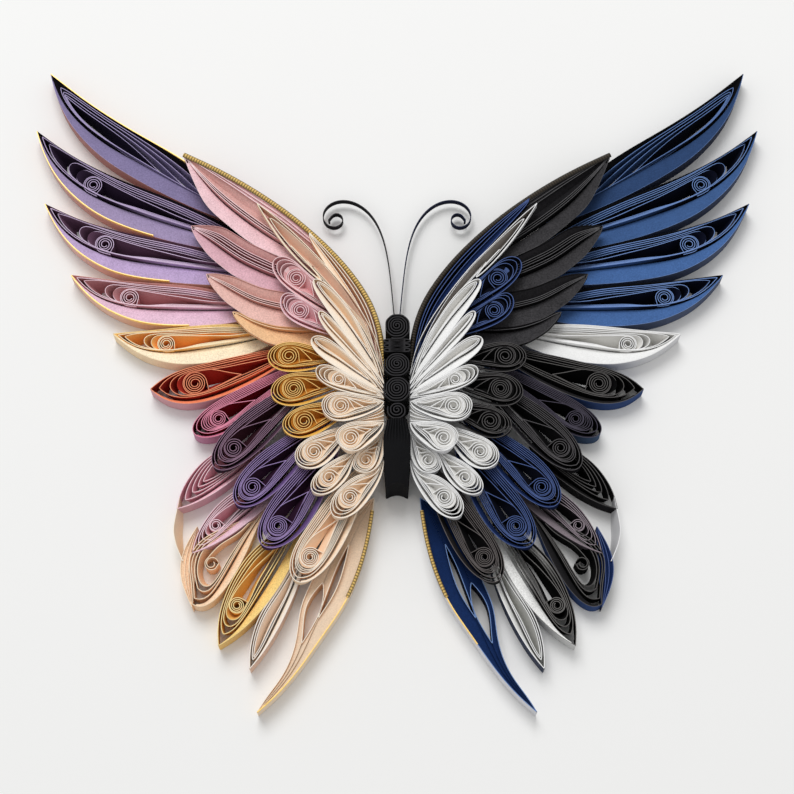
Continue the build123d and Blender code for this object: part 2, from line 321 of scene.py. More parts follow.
class Petal:
    """One petal's outline, split at its root and tip, with a place for every share along and across it."""

    def __init__(self, plate, side, pointed=False, has_arm=False, passes=SMOOTH_PASSES):
        outline, self.low, self.high = plate
        self.side = side
        outline = outline * (side, 1)
        if side < 0:
            outline = outline[::-1]
        tip = int(np.argmax(np.linalg.norm(outline - WING_HINGE, axis=1)))
        outline = np.roll(outline, -tip, axis=0)
        root = int(np.argmax(np.linalg.norm(outline - outline[0], axis=1)))
        upper = outline[:root + 1][::-1]
        lower = np.vstack((outline[root:], outline[:1]))
        if has_arm:
            lower = without_arm(lower)
        self.set_sides(resample(upper, SIDE_SAMPLES), resample(lower, SIDE_SAMPLES), pointed, passes)
        self.length = float(np.linalg.norm(outline[root] - outline[0]))

    def set_sides(self, upper, lower, pointed, passes):
        tip = upper[-1]
        first = upper[-TIP_SAMPLES] - tip
        second = lower[-TIP_SAMPLES] - tip
        cosine = np.dot(first, second) / np.linalg.norm(first) / np.linalg.norm(second)
        if pointed or math.acos(max(-1.0, min(1.0, cosine))) < POINTED_ANGLE:
            self.upper = soften(upper, passes)
            self.lower = soften(lower, passes)
        else:
            whole = soften(np.vstack((upper, lower[::-1][1:])), passes)
            self.upper = resample(whole[:SIDE_SAMPLES], SIDE_SAMPLES)
            self.lower = resample(whole[SIDE_SAMPLES - 1:][::-1], SIDE_SAMPLES)

    def side_point(self, line, along):
        place = min(max(along, 0.0), 1.0) * (SIDE_SAMPLES - 1)
        index = min(int(place), SIDE_SAMPLES - 2)
        return blend(line[index], line[index + 1], place - index)

    def at(self, along, across):
        """Along runs from root to tip, across from the lower to the upper side."""
        return blend(self.side_point(self.lower, along), self.side_point(self.upper, along), across)

    def width(self, along):
        return float(np.linalg.norm(self.side_point(self.upper, along) - self.side_point(self.lower, along)))

    def with_sides(self, upper, lower):
        """The same petal with other sides."""
        other = copy.copy(self)
        other.upper = upper
        other.lower = lower
        return other

    def narrowed(self, alongs, lower_shares, upper_shares):
        """The same petal with its sides at some shares across it, given for places along it."""
        places = np.linspace(0, 1, SIDE_SAMPLES)
        lower = [self.at(along, np.interp(along, alongs, lower_shares)) for along in places]
        upper = [self.at(along, np.interp(along, alongs, upper_shares)) for along in places]
        upper, lower = (soften(np.array(side), BAND_SMOOTH_PASSES) for side in (upper, lower))
        return self.with_sides(upper, lower)

    def with_band(self, alongs, shares):
        """The same petal with its lower side drawn in by the width of its flat band."""
        band = self.narrowed(alongs, shares, np.ones(len(shares)))
        return self.with_sides(self.upper, band.lower)

    def blunted(self, reach):
        """The same petal cut off at a share of its length and rounded there."""
        upper = [self.side_point(self.upper, reach * share) for share in np.linspace(0, 1, SIDE_SAMPLES)]
        lower = [self.side_point(self.lower, reach * share) for share in np.linspace(1, 0, SIDE_SAMPLES)]
        whole = soften(resample(np.vstack((upper, lower)), 2 * SIDE_SAMPLES - 1), ROUND_PASSES)
        return self.with_sides(whole[:SIDE_SAMPLES], whole[SIDE_SAMPLES - 1:][::-1])

    def rounded_sides(self):
        """Both sides with the tip rounded off, as the inner turns have it."""
        whole = soften(np.vstack((self.upper, self.lower[::-1][1:])), ROUND_PASSES)
        return whole[:SIDE_SAMPLES], whole[SIDE_SAMPLES - 1:][::-1]


# How each kind of petal is rolled. Shares run along the petal from its root and across from its lower side.
# Roots and tips are how far in from the outline each turn lies, at the root and at the tip.
# A band has places along the petal and its share of the width there.
ROLL = {"split": 0.45, "lean": 1.0, "wedge": 0.6, "start": 0.12, "point_turns": 2, "pitch": 0.5 * MM,
        "hole": 0.6 * MM, "face_to": None, "pointed": False, "reach": 1.0}
FEATHER_BAND = ((0, 0.5, 0.75, 0.9, 1), (0.52, 0.42, 0.24, 0.09, 0))
DROP_BAND = ((0, 0.6, 0.85, 1), (0.16, 0.13, 0.08, 0))
COVERT_TAPER = (0, 0.92, 1)
EYE_FEATHER = ROLL | {
    "eye": (0.685, 0.38), "eye_share": 0.68, "wedge": 0.55, "start": 0.20, "point_turns": 1,
    "pitch": 0.55 * MM, "roots": (0.20, 0.38, 0.56, 0.76, 1.0), "tips": (0.08, 0.16, 0.58, 0.80),
    "split": 0.55, "band": FEATHER_BAND, "face_to": 1.25}
FAN_FEATHER = ROLL | {
    "leaf": ((0.56, 0.06), (0.88, 0.40)), "leaf_bulge": (0.20, 0.08), "roots": (0.22, 0.38, 0.54, 0.70, 0.86),
    "tips": (0.24, 0.42, 0.68, 0.88), "split": 0.3, "lean": 0.5, "band": FEATHER_BAND, "face_to": 1.25}
WIDE_DROP = ROLL | {
    "eye": (0.71, 0.50), "eye_share": 0.70, "roots": (0.14, 0.36, 0.66, 1.0), "tips": (0.16, 0.42, 0.74),
    "pitch": 0.52 * MM, "hole": 0.7 * MM, "band": DROP_BAND, "pointed": True}
DROP = ROLL | {
    "eye": (0.76, 0.48), "eye_share": 0.58, "roots": (0.10, 0.25, 0.42, 0.62, 0.82, 1.0),
    "tips": (0.13, 0.29, 0.46, 0.64, 0.82), "band": DROP_BAND}
LONG_DROP = ROLL | {
    "eye": (0.78, 0.48), "eye_share": 0.58, "roots": (0.10, 0.26, 0.43, 0.61, 0.80, 1.0),
    "tips": (0.12, 0.29, 0.46, 0.64, 0.82), "band": DROP_BAND}
COIL = ROLL | {
    "eye": (0.66, 0.50), "eye_share": 0.74, "roots": (0.14, 0.38, 0.68, 1.0), "tips": (0.15, 0.40, 0.70),
    "pitch": 0.6 * MM, "band": DROP_BAND}
INNER_COIL = COIL | {"eye": (0.63, 0.50)}
SHOULDER_COIL = COIL | {"eye_share": 0.84}
BLADE = ROLL | {
    "eye": (0.70, 0.50), "eye_share": 0.55, "start": 0.18, "point_turns": 1, "roots": (0.14, 0.34, 0.60, 1.0),
    "tips": (0.20, 0.42, 0.70), "lean": 0.8, "band": ((0, 0.7, 1), (0.30, 0.22, 0)), "pointed": True}
LEAF_BLADE = ROLL | {
    "leaf": ((0.25, 0.45), (0.90, 0.50)), "leaf_bulge": (0.22, 0.22), "roots": (0.20, 0.60, 1.0),
    "tips": (0.25, 0.65), "band": ((0, 0.7, 1), (0.28, 0.20, 0)), "pointed": True}
CURLED_DROP = ROLL | {
    "eye": (0.66, 0.46), "eye_share": 0.30, "wedge": 0.95, "start": 0.20, "point_turns": 1,
    "pitch": 0.9 * MM, "roots": (0.10, 0.24, 0.40, 0.60), "tips": (0.10, 0.24, 0.40), "lean": 0.3,
    "band": ((0, 0.7, 1), (0.30, 0.14, 0))}
OPEN_LOOP = ROLL | {
    "leaf": ((0.30, 0.50), (0.90, 0.54)), "leaf_bulge": (0.30, 0.26), "roots": (0.30, 0.70, 1.0),
    "tips": (0.22, 0.62), "split": 0.3, "band": ((0, 0.6, 0.85, 1), (0.50, 0.44, 0.22, 0)), "reach": 0.96}
SLENDER_LEAF = ROLL | {
    "leaf": ((0.24, 0.46), (0.95, 0.52)), "leaf_bulge": (0.36, 0.34), "roots": (0.20, 1.0), "tips": (0.30,),
    "split": 0.2, "band": ((0, 0.8, 1), (0.12, 0.07, 0)), "pointed": True}
NESTED = ROLL | {
    "leaf": ((0.05, 0.50), (0.60, 0.50)), "leaf_bulge": (0.24, 0.24), "roots": (0.12, 0.30, 0.55, 0.80, 1.0),
    "tips": (0.20, 0.42, 0.64, 0.84), "lean": 0.6, "band": DROP_BAND}

# Petals whose strips fan out from the tip. Lines are shares across the petal. A face has the two lines it
# lies between, how many millimetres it sinks at its start, middle and end, and its colour: the band's, or the
# rim colour in painted shade. A loop has its two ends and how far it bulges above and below.
FAN = {"pointed": False, "reach": 1.0, "band": None, "loops": ()}
LONG_COVERT = FAN | {
    "lines": (0.90, 0.80, 0.70, 0.22, 0.15, 0.08),
    "faces": ((1.0, 0.70, (0.3, 0.5, 0.6), "band"), (0.70, 0.22, (0.6, 1.7, 0.8), "rim")),
    "band": (COVERT_TAPER, (0.36, 0.33, 0))}
COVERT = FAN | {
    "lines": (0.58, 0.47, 0.35, 0.20, 0.10), "faces": ((1.0, 0.58, (0.2, 0.6, 1.2), "rim"),),
    "band": (COVERT_TAPER, (0.46, 0.42, 0))}
PLAIN_COVERT = FAN | {
    "lines": (0.30, 0.18, 0.06), "faces": ((1.0, 0.30, (0.2, 0.6, 1.2), "rim"),),
    "band": (COVERT_TAPER, (0.54, 0.50, 0))}
LOW_COVERT = FAN | {
    "lines": (0.35,), "faces": ((1.0, 0.35, (0.2, 0.4, 0.8), "rim"),),
    "band": (COVERT_TAPER, (0.84, 0.80, 0))}
TAIL = FAN | {
    "lines": (), "faces": (), "pointed": True,
    "loops": ((((0.24, 0.48), (0.56, 0.40)), (0.10, 0.09)), (((0.43, 0.72), (0.68, 0.66)), (0.17, 0.25)))}

# Petals that are shaped otherwise than their plates: places along, and where their lower and upper sides lie
TAIL_SIDES = ((0, 0.28, 0.45, 0.57, 0.66, 0.76, 0.86, 1), (0, -0.06, -0.06, 0.03, 0.08, 0.08, 0.07, 0),
              (1, 0.89, 0.82, 0.96, 0.72, 0.56, 0.50, 1))
RIGHT_LEADING_SIDES = ((0, 0.25, 0.75, 1), (0, 0, 0, 0), (1, 0.82, 0.80, 1))


class Leaf:
    """The innermost loop of a petal with no eye, pointed at both ends."""

    def __init__(self, petal, ends, bulges):
        self.petal = petal
        self.ends = ends
        self.bulges = bulges

    def middle_point(self, share):
        (start_along, start_across), (end_along, end_across) = self.ends
        return self.petal.at(blend(start_along, end_along, share), blend(start_across, end_across, share))

    def side_across(self, along, upper):
        """Where a side of the loop lies across the petal. Past the loop's ends both sides run on together."""
        (start_along, start_across), (end_along, end_across) = self.ends
        share = min(max((along - start_along) / (end_along - start_along), 0.0), 1.0)
        swell = math.sin(math.pi * share) ** LEAF_FULLNESS
        bulge = self.bulges[0] if upper else -self.bulges[1]
        return blend(start_across, end_across, share) + bulge * swell

    def loop_point(self, share, upper):
        along = blend(self.ends[0][0], self.ends[1][0], share)
        return self.petal.at(along, self.side_across(along, upper))


class Eye:
    """The innermost loop of a petal that is rolled round an eye: a wedge from the root and the round eye."""

    def __init__(self, petal, recipe):
        self.petal = petal
        self.along, self.across = recipe["eye"]
        self.start = recipe["start"]
        self.wedge = recipe["wedge"]
        width = petal.width(self.along)
        self.radius = recipe["eye_share"] * width / 2
        self.centre = petal.at(self.along, self.across)
        top = petal.at(self.along, 1) - petal.at(self.along, 0)
        self.up = top / np.linalg.norm(top)
        self.out = np.array((self.up[1], -self.up[0]))
        self.rise = self.radius / width

    def turn_share(self, start):
        """The share of a loop's length at which it begins to round the eye."""
        run = max(self.along - start, 0.0) * self.petal.length
        return run / (run + math.pi / 2 * self.radius)

    def opening(self, progress):
        return 1 - (1 - min(progress / WEDGE_OPENING, 1.0)) ** 2

    def lift(self, along):
        """Half the width of the wedge at a place along the petal, as a share of the eye's radius."""
        progress = (along - self.start) / (self.along - self.start)
        return self.opening(progress) * blend(self.wedge, 1.0, fade(progress, WEDGE_SPREAD, 1))

    def middle_point(self, share):
        progress = min(share / self.turn_share(self.start), 1.0)
        return self.petal.at(blend(self.start, self.along, progress), self.across)

    def round_point(self, share, upper, turn_at):
        angle = (share - turn_at) / (1 - turn_at) * math.pi / 2
        way = 1 if upper else -1
        return self.centre + self.radius * (way * math.cos(angle) * self.up + math.sin(angle) * self.out)

    def loop_point(self, share, upper):
        """A point of the loop that bounds the wedge and rounds the eye."""
        turn_at = self.turn_share(self.start)
        if share >= turn_at:
            return self.round_point(share, upper, turn_at)
        along = blend(self.start, self.along, share / turn_at)
        way = 1 if upper else -1
        return self.petal.at(along, self.across + way * self.rise * self.lift(along))

    def pinched_point(self, share, upper, start):
        """A point of a loop inside the wedge that leaves its lower side at a share along the petal."""
        turn_at = self.turn_share(start)
        if share >= turn_at:
            return self.round_point(share, upper, turn_at)
        along = blend(start, self.along, share / turn_at)
        height = blend(-1, 1, self.opening(share / turn_at)) if upper else -1
        return self.petal.at(along, self.across + height * self.rise * self.lift(along))

    def ring_point(self, turn, radius):
        angle = 2 * math.pi * turn
        return self.centre + radius * (-math.cos(angle) * self.out + math.sin(angle) * self.up)


def turn_places(turns):
    """Steps of some turns of the strip: the turn, the share along the petal, and true on its upper side."""
    for turn in range(turns):
        for step in range(2 * HALF_TURN):
            share = 0.5 - 0.5 * math.cos(math.pi * step / HALF_TURN)
            upper = step < HALF_TURN
            yield turn + (share / 2 if upper else 1 - share / 2), share, upper
    yield turns, 0.0, False


def turn_depth(recipe, turn, share):
    """How far in from the outline the strip lies, by roots near the root and by tips past the split."""
    roots, tips, split = recipe["roots"], recipe["tips"], recipe["split"]
    at_root = np.interp(turn, np.arange(len(roots)), roots)
    at_tip = np.interp(turn, np.arange(len(tips)) + 0.5, tips)
    return blend(at_root, at_tip, fade(share, split, 1))


def roll_line(petal, recipe):
    """The line of one paper strip rolled into a petal, from its outer end at the root to the eye.

    Each point has its place at the strip's top edge, its share along the petal, its place at the lower edge
    and how much of its face shows. The lower edge leans in to the next turn, and the last turn closes the
    hollow."""
    turns = len(recipe["tips"])
    core = Eye(petal, recipe) if "eye" in recipe else Leaf(petal, recipe["leaf"], recipe["leaf_bulge"])
    round_upper, round_lower = petal.rounded_sides()
    points = []
    for turn, share, upper in turn_places(turns):
        side, round_side = (petal.upper, round_upper) if upper else (petal.lower, round_lower)
        depth = turn_depth(recipe, turn, share)
        outer = petal.side_point(side, share)
        outer = blend(outer, petal.side_point(round_side, share), fade(depth, 0, ROUNDING_DEPTH))
        inner = core.loop_point(share, upper)
        top = blend(outer, inner, depth)
        if turn < turns - 1:
            next_depth = turn_depth(recipe, turn + 1, share)
            foot = blend(outer, inner, blend(depth, next_depth, TURN_LEAN * recipe["lean"]))
            bundle = 1 - fade(share, *ROOT_BUNDLE_PLACES)
        else:
            close = recipe["lean"]
            if "eye" in recipe:
                close *= blend(1.0, HOLLOW_CLOSING, fade(share, *HOLLOW_PLACES))
            foot = blend(top, core.middle_point(share), close)
            bundle = 0.0
        points.append((*top, share, *foot, bundle))
    if "eye" in recipe:
        points += [(*top, 1.0, *top, 0.0) for top in eye_line(core, recipe)]
    return np.array(points)


def eye_line(eye, recipe):
    """The rest of the strip: loops that leave the wedge's lower side, and the rings of the eye."""
    points = []
    point_turns = recipe["point_turns"]
    last_start = eye.along - eye.radius / eye.petal.length
    for turn, share, upper in turn_places(point_turns):
        start = blend(eye.start, last_start, (turn / point_turns) ** POINT_SPACING)
        points.append(eye.pinched_point(share, upper, start))
    rings = max(1, round((eye.radius - recipe["hole"]) / recipe["pitch"]))
    for turn in np.linspace(0, rings, rings * RING_SAMPLES + 1):
        points.append(eye.ring_point(turn, blend(eye.radius, recipe["hole"], turn / rings)))
    return points


# Paper strips

def paper_ribbon(name, rows, thickness, marks, back_marks=None):
    """A strip of paper through rows of points, each row from one end of the strip to the other."""
    count = len(rows[0])
    bpy.ops.object.select_all(action="DESELECT")
    bpy.ops.mesh.primitive_grid_add(x_subdivisions=count - 1, y_subdivisions=len(rows) - 1, size=1)
    ribbon = bpy.context.object
    ribbon.name = name
    ribbon.data.vertices.foreach_set("co", np.concatenate(rows).ravel())
    bpy.ops.object.modifier_add(type="SOLIDIFY")
    solidify = ribbon.modifiers[-1]
    solidify.thickness = thickness
    solidify.offset = 0
    bpy.ops.object.modifier_apply(modifier=solidify.name)
    attribute = ribbon.data.attributes.new("marks", "FLOAT_COLOR", "POINT")
    sheet = count * len(rows)
    colours = np.ones((2 * sheet, 4))
    colours[:sheet] = marks
    colours[sheet:] = marks if back_marks is None else back_marks
    attribute.data.foreach_set("color", colours.ravel())
    return ribbon


def row_at(line, side, height):
    """A row of a strip: a line in the plane of the wing at one height or one for each point."""
    return np.column_stack((line * (side, 1), np.broadcast_to(height, len(line))))


def upright_rows(line, side, low, high):
    """The two edges of a strip that stands on a line, and leans where the line has a foot."""
    foot_line = line[:, 3:5] if line.shape[1] > 3 else line[:, :2]
    return [row_at(foot_line, side, low + PAPER / 2), row_at(line[:, :2], side, high)]


# Marks on a strip's points: a broad face, an outer wall in the outer colour, partly painted shade, a rim in
# the rim colour of painted shade, and the face of a strip in a bundle
COIL_MARKS = (0, 0, 0, 0)
FACE_MARKS = {"band": (1, 0, 0, 0), "rim": (1, 0, 1, 0)}
OUTER_MARKS = (0, 1, 0, 0)
SHADED_RIM_MARKS = (0, 1, 1, 0)
SHADED_RIM_BACK_MARKS = (0, 0, 1, 0)


def upright_strip(petal, line, top, name, marks=COIL_MARKS, back_marks=None):
    """A strip that stands on a line, from the petal's foot up to the top."""
    return paper_ribbon(name, upright_rows(line, petal.side, petal.low, top), PAPER, marks, back_marks)


def face_strip(rows, name, kind="band"):
    """A strip that shows its broad face."""
    return paper_ribbon(name, rows, PAPER, FACE_MARKS[kind])


def top_height(petal, along):
    """How high a petal's strips stand. They dip towards the root, where other petals lie over them."""
    dip = ROOT_DIP * (petal.high - petal.low)
    return petal.high - dip * np.array([1 - fade(share, *ROOT_DIP_PLACES) for share in along])


def outer_wall(petal, has_shaded_rim, name):
    """The two strips that go round the petal, above and below, with their outer faces in the outer colour:
    their own paper, partly darkened as painted shade. Where the petal has a rim, the upper strip's top edge
    takes the rim colour, in painted shade.
    """
    along = np.linspace(0, 1, SIDE_SAMPLES)
    upper = np.column_stack((petal.upper, along))
    lower = np.column_stack((petal.lower, along))
    lower_marks = (OUTER_MARKS, COIL_MARKS)
    upper_marks = (SHADED_RIM_MARKS, SHADED_RIM_BACK_MARKS) if has_shaded_rim else lower_marks
    lean = WALL_LEAN if petal.low > 0 else 0
    walls = []
    for line, marks in ((upper[::-1], upper_marks), (lower, lower_marks)):
        line = line if petal.side > 0 else line[::-1]
        middle = np.array([petal.at(share, 0.5) for share in line[:, 2]])
        line = np.column_stack((line, blend(line[:, :2], middle, lean)))
        walls.append(upright_strip(petal, line, top_height(petal, line[:, 2]), name, *marks))
    return walls


def band_ribbon(petal, inner, name):
    """The broad strip that lies over along the lower side and shows its face."""
    span = np.linalg.norm(petal.lower - inner.lower, axis=1)
    depth = np.minimum(span / max(span) * BAND_DROP, BAND_DROP_LIMIT * (petal.high - petal.low))
    top = top_height(petal, np.linspace(0, 1, SIDE_SAMPLES))
    keep = slice(1, SIDE_SAMPLES - 2, 2)
    rows = []
    for share in BAND_SHARES:
        height = np.maximum(top - depth * (1 - share) ** BAND_CURVE, petal.low + PAPER) - BAND_LIFT
        rows.append(row_at(blend(inner.lower, petal.lower, share), petal.side, height)[keep])
    return face_strip(rows, name)


def upper_face(petal, line, recipe, name):
    """The broad face between the upper edge and the first turn, which may go on round the tip. It takes the
    rim colour, in painted shade, where the paper has one.
    """
    count = int(HALF_TURN * recipe["face_to"]) + 1
    sides = [petal.upper if step <= HALF_TURN else petal.lower for step in range(count)]
    outer = np.array([petal.side_point(side, share) for side, share in zip(sides, line[:, 2])])
    inner = line[:count, :2]
    top = top_height(petal, line[:count, 2]) - BAND_LIFT
    drop = np.minimum(np.linalg.norm(outer - inner, axis=1) * FACE_SLOPE, FACE_DROP)
    rows = [row_at(blend(outer, inner, share), petal.side, top - drop * share) for share in FACE_SHARES]
    return face_strip(rows, name, "rim")


def rolled_petal(petal, recipe, name):
    """All the strips of one rolled petal."""
    inner = petal.with_band(*recipe["band"])
    line = roll_line(inner, recipe)
    sink = np.linspace(0, TURN_DROP, len(line)) + BAND_LIFT
    marks = np.zeros((2 * len(line), 4))
    marks[:, 3] = np.tile(line[:, 5], 2)
    strips = outer_wall(petal, recipe["face_to"], name)
    strips.append(upright_strip(petal, line, top_height(petal, line[:, 2]) - sink, name, marks))
    strips.append(band_ribbon(petal, inner, name))
    if recipe["face_to"]:
        strips.append(upper_face(petal, line, recipe, name))
    return strips


def faces_round_loops(petal, leaves, name):
    """A petal's broad faces between its sides and its loops, which stay open."""
    along = np.linspace(0, 1, 2 * SIDE_SAMPLES)[1:-1]
    top = top_height(petal, along)
    edges = [np.zeros(len(along))]
    for leaf in leaves:
        edges += [np.array([leaf.side_across(place, upper) for place in along]) for upper in (False, True)]
    edges.append(np.ones(len(along)))
    strips = []
    for lower, upper in zip(edges[::2], edges[1::2]):
        rows = []
        for share in FACE_SHARES:
            line = np.array([petal.at(*place) for place in zip(along, blend(lower, upper, share))])
            rows.append(row_at(line, petal.side, top - LOOP_FACE_DROP * blend(LOOP_FACE_START, 1, share)))
        strips.append(face_strip(rows, name))
    return strips


def fan_petal(petal, recipe, name):
    """All the strips of a petal whose strips fan out from its tip."""
    along = np.linspace(0, 1, SIDE_SAMPLES)
    top = top_height(petal, along) - BAND_LIFT
    has_shaded_rim = any(kind == "rim" for *_, kind in recipe["faces"])
    strips = outer_wall(petal, has_shaded_rim, name)
    inner = petal
    if recipe["band"]:
        inner = petal.with_band(*recipe["band"])
        strips.append(band_ribbon(petal, inner, name))
    for across in recipe["lines"]:
        line = np.array([inner.at(share, across) for share in along])
        strips.append(upright_strip(petal, line, top, name))
    widths = np.array([inner.width(share) for share in along])
    room = MM * np.minimum(widths / widths.max() * FAN_SINK_GAIN, 1)
    for start, end, sinks, kind in recipe["faces"]:
        rows = []
        for share in np.linspace(0, 1, FAN_FACE_ROWS):
            line = np.array([inner.at(place, blend(start, end, share)) for place in along])
            rows.append(row_at(line, petal.side, top - room * np.interp(share, FACE_SHARES, sinks)))
        strips.append(face_strip(rows, name, kind))
    leaves = [Leaf(petal, ends, bulges) for ends, bulges in recipe["loops"]]
    if leaves:
        strips += faces_round_loops(petal, leaves, name)
    for leaf in leaves:
        line = np.array([leaf.loop_point(share, upper) for _, share, upper in turn_places(1)])
        strips.append(upright_strip(petal, line, petal.high - BAND_LIFT, name))
    return strips


def join_pieces(objects, name):
    """One smooth-shaded piece made of all its strips."""
    bpy.ops.object.select_all(action="DESELECT")
    for item in objects:
        item.select_set(True)
    bpy.context.view_layer.objects.active = objects[0]
    if len(objects) > 1:
        bpy.ops.object.join()
    piece = bpy.context.object
    piece.name = name
    piece.data.name = name
    bpy.ops.object.shade_smooth_by_angle(angle=SMOOTH_ANGLE)
    return piece


# Paper colours

def srgb(red, green, blue):
    """A colour as it is seen, in the linear values that the shader takes."""
    values = [channel / 255 for channel in (red, green, blue)]
    linear = [v / 12.92 if v <= 0.04045 else ((v + 0.055) / 1.055) ** 2.4 for v in values]
    return (*linear, 1.0)


class Value:
    """One value in a material, which adds Math nodes as it is used in an expression."""

    def __init__(self, paper, socket):
        self.paper = paper
        self.socket = socket

    def math(self, operation, first, second):
        return self.paper.node("ShaderNodeMath", {"operation": operation}, {0: first, 1: second})

    def __add__(self, other):
        return self.math("ADD", self, other)

    def __radd__(self, other):
        return self.math("ADD", other, self)

    def __sub__(self, other):
        return self.math("SUBTRACT", self, other)

    def __rsub__(self, other):
        return self.math("SUBTRACT", other, self)

    def __mul__(self, other):
        return self.math("MULTIPLY", self, other)

    def __rmul__(self, other):
        return self.math("MULTIPLY", other, self)

    def __gt__(self, other):
        return self.math("GREATER_THAN", self, other)


class PaperShader:
    """A material under construction, with one method for every node that isn't plain maths."""

    def __init__(self, name):
        self.material = bpy.data.materials.new(name)
        self.material.use_nodes = True
        self.tree = self.material.node_tree
        self.surface = self.tree.nodes["Principled BSDF"]

    def node(self, kind, settings, inputs, output=0):
        made = self.tree.nodes.new(kind)
        for key, value in settings.items():
            setattr(made, key, value)
        for key, value in inputs.items():
            self.feed(made.inputs[key], value)
        return Value(self, made.outputs[output])

    def feed(self, socket, value):
        if isinstance(value, Value):
            self.tree.links.new(value.socket, socket)
        else:
            socket.default_value = value

    def mix(self, share, first, second):
        return self.node("ShaderNodeMix", {"data_type": "RGBA"}, {0: share, 6: first, 7: second}, output=2)

    def marks(self):
        return self.node("ShaderNodeAttribute", {"attribute_name": "marks"}, {}, output="Color")

    def noise(self, grain):
        place = self.node("ShaderNodeTexCoord", {}, {}, output="Object")
        return self.node("ShaderNodeTexNoise", {}, {"Vector": place} | grain)

    def cover(self, colour, shade, fibre, bump_strength):
        """Lays a colour, shaded and with its fibres raised, over the surface."""
        shaded = self.node("ShaderNodeVectorMath", {"operation": "SCALE"}, {0: colour, "Scale": shade})
        relief = {"Strength": bump_strength, "Distance": BUMP_DISTANCE, "Height": fibre}
        self.feed(self.surface.inputs["Base Color"], shaded)
        self.feed(self.surface.inputs["Normal"], self.node("ShaderNodeBump", {}, relief))


def paper_material(name, edge, wall_with_painted_shade, band, outer, rim=None, grain=PAPER_GRAIN):
    """Paper with pale top edges, the cut edge with a painted highlight; walls darkened as painted shade of
    the gaps; a broad fibrous face; an outer strip partly in painted shade; and a rim colour in painted shade.
    """
    paper = PaperShader(name)
    marks = paper.marks()
    is_face = paper.node("ShaderNodeSeparateColor", {}, {"Color": marks}, output="Red")
    is_outer = Value(paper, is_face.socket.node.outputs["Green"])
    is_shaded_rim = Value(paper, is_face.socket.node.outputs["Blue"])
    is_bundle = Value(paper, marks.socket.node.outputs["Alpha"])
    normal = paper.node("ShaderNodeNewGeometry", {}, {}, output="True Normal")
    height = paper.node("ShaderNodeSeparateXYZ", {}, {"Vector": normal}, output="Z")
    # Up-facing tops take the edge colour: the paper's pale cut edge with a painted highlight.
    is_lit_top_edge = (height > EDGE_UP) * (1 - is_face)
    fibre = paper.noise(FIBRE)
    cloud = paper.noise(CLOUD)
    fibre_depth = FIBRE_GAIN * grain + FACE_FIBRE_GAIN * grain * is_face
    speckle = 1 + (fibre - 0.5) * fibre_depth + (cloud - 0.5) * (CLOUD_GAIN * grain)
    # Walls take the wall colour, the paper darkened as painted shade of the deep gaps; outer faces take the
    # outer colour, partly painted shade; tops take the edge colour with its painted highlight, or the rim
    # colour in painted shade; broad faces take the band colour, or the rim colour in painted shade.
    base = paper.mix(is_outer, srgb(*wall_with_painted_shade), srgb(*outer))
    base = paper.mix(is_bundle, base, srgb(*band))
    top = paper.mix(is_shaded_rim, srgb(*edge), srgb(*(rim or edge)))
    base = paper.mix(is_lit_top_edge, base, top)
    face = paper.mix(is_shaded_rim, srgb(*band), srgb(*(rim or band)))
    face = paper.mix(is_bundle, face, srgb(*wall_with_painted_shade))
    base = paper.mix(is_face, base, face)
    paper.cover(base, speckle, fibre, PAPER_BUMP)
    paper.surface.inputs["Roughness"].default_value = PAPER_ROUGHNESS
    paper.surface.inputs["Specular IOR Level"].default_value = PAPER_SHINE
    return paper.material


def gilt_material(name, colour):
    """Metallic paper with a fine grain that breaks its shine, darkened in the dents between beads as painted
    shade.
    """
    paper = PaperShader(name)
    fibre = paper.noise(GILT_FIBRE)
    # The marks' red is high in the dents between beads and at the strip's sides, which are darkened as
    # painted shade.
    dent_shade = paper.node("ShaderNodeSeparateColor", {}, {"Color": paper.marks()}, output="Red")
    shade = (GILT_SHADE + GILT_SHADE_GAIN * fibre) * (1 - GILT_DENT_SHADE * dent_shade)
    paper.cover(srgb(*colour)[:3], shade, fibre, GILT_BUMP)
    paper.feed(paper.surface.inputs["Roughness"], GILT_ROUGHNESS + GILT_ROUGHNESS_GAIN * fibre)
    paper.surface.inputs["Metallic"].default_value = GILT_METALLIC
    return paper.material
